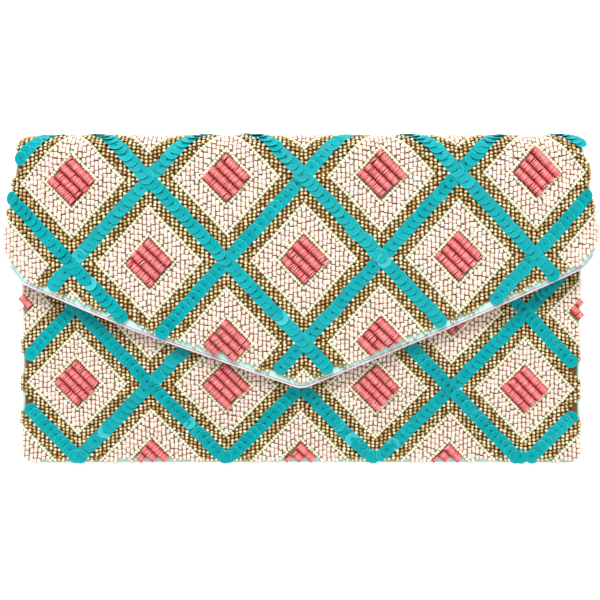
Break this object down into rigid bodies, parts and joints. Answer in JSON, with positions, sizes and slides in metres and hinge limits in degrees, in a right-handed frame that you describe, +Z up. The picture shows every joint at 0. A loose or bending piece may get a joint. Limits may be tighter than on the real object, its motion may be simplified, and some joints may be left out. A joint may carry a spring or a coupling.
{
  "type": "clutch purse",
  "caption": "Slim beaded envelope clutch with a pointed fold-over flap, magnetic snap and a lined compartment, lying on its back.",
  "frame": {"origin": "on the resting plane under the middle of the purse, which lies on its back", "axes": "+X along the width, +Y towards the fold that the flap turns on, +Z up out of the front"},
  "size_m": [0.2624, 0.1462, 0.0308],
  "materials": {
    "mint_cloth": "matt plain-weave silk",
    "bugle_bead": "pearly pink glass bugle beads",
    "pearl_bead": "lustrous cream glass seed beads",
    "gold_bead": "metal-lined antique gold seed beads",
    "sequin": "satin turquoise cup sequins",
    "coral_disc": "polished coral resin discs",
    "lining_satin": "pale pink satin",
    "piping_satin": "pinkish-white satin piping",
    "interfacing": "stiff bonded felt",
    "thread": "waxed sewing thread",
    "snap_metal": "polished light gold plate",
    "magnet": "dark nickel plate"
  },
  "bodies": {
    "bag": {"back_bead_field": "bugle_bead", "back_coral_block_1": "coral_disc", "back_coral_block_10": "coral_disc", "back_coral_block_11": "coral_disc", "back_coral_block_2": "coral_disc", "back_coral_block_3": "coral_disc", "back_coral_block_4": "coral_disc", "back_coral_block_5": "coral_disc", "back_coral_block_6": "coral_disc", "back_coral_block_7": "coral_disc", "back_coral_block_8": "coral_disc", "back_coral_block_9": "coral_disc", "back_ground_cloth": "mint_cloth", "back_interfacing": "interfacing", "back_lining": "lining_satin", "back_sequin_lattice": "sequin", "front_bead_field": "bugle_bead", "front_coral_block_1": "coral_disc", "front_coral_block_10": "coral_disc", "front_coral_block_11": "coral_disc", "front_coral_block_2": "coral_disc", "front_coral_block_3": "coral_disc", "front_coral_block_4": "coral_disc", "front_coral_block_5": "coral_disc", "front_coral_block_6": "coral_disc", "front_coral_block_7": "coral_disc", "front_coral_block_8": "coral_disc", "front_coral_block_9": "coral_disc", "front_ground_cloth": "mint_cloth", "front_interfacing": "interfacing", "front_lining": "lining_satin", "front_sequin_lattice": "sequin", "slip_pocket": "lining_satin", "snap_magnet": "magnet", "snap_socket": "snap_metal", "snap_socket_plate": "snap_metal"},
    "spine": {"fold_bead_field": "bugle_bead", "fold_ground_cloth": "mint_cloth", "fold_lining": "lining_satin"},
    "flap": {"flap_bead_field": "bugle_bead", "flap_coral_block_1": "coral_disc", "flap_coral_block_2": "coral_disc", "flap_coral_block_3": "coral_disc", "flap_coral_block_4": "coral_disc", "flap_coral_block_5": "coral_disc", "flap_coral_block_6": "coral_disc", "flap_coral_block_7": "coral_disc", "flap_coral_block_8": "coral_disc", "flap_coral_block_9": "coral_disc", "flap_facing": "lining_satin", "flap_ground_cloth": "mint_cloth", "flap_interfacing": "interfacing", "flap_piping": "piping_satin", "flap_sequin_lattice": "sequin", "snap_stud": "snap_metal", "snap_stud_plate": "snap_metal"}
  },
  "joints": [
    {"name": "back_roll", "type": "hinge", "parent": "bag", "child": "spine", "pos_m": [0, 0.06834, 0.00706], "axis": [-1, 0, 0], "range_deg": [0, 85]},
    {"name": "flap_roll", "type": "hinge", "parent": "spine", "child": "flap", "pos_m": [0, 0.06834, 0.02374], "axis": [-1, 0, 0], "range_deg": [0, 85]}
  ],
  "couplings": [
    {"joint": "flap_roll", "follows": "back_roll", "ratio": 1}
  ]
}
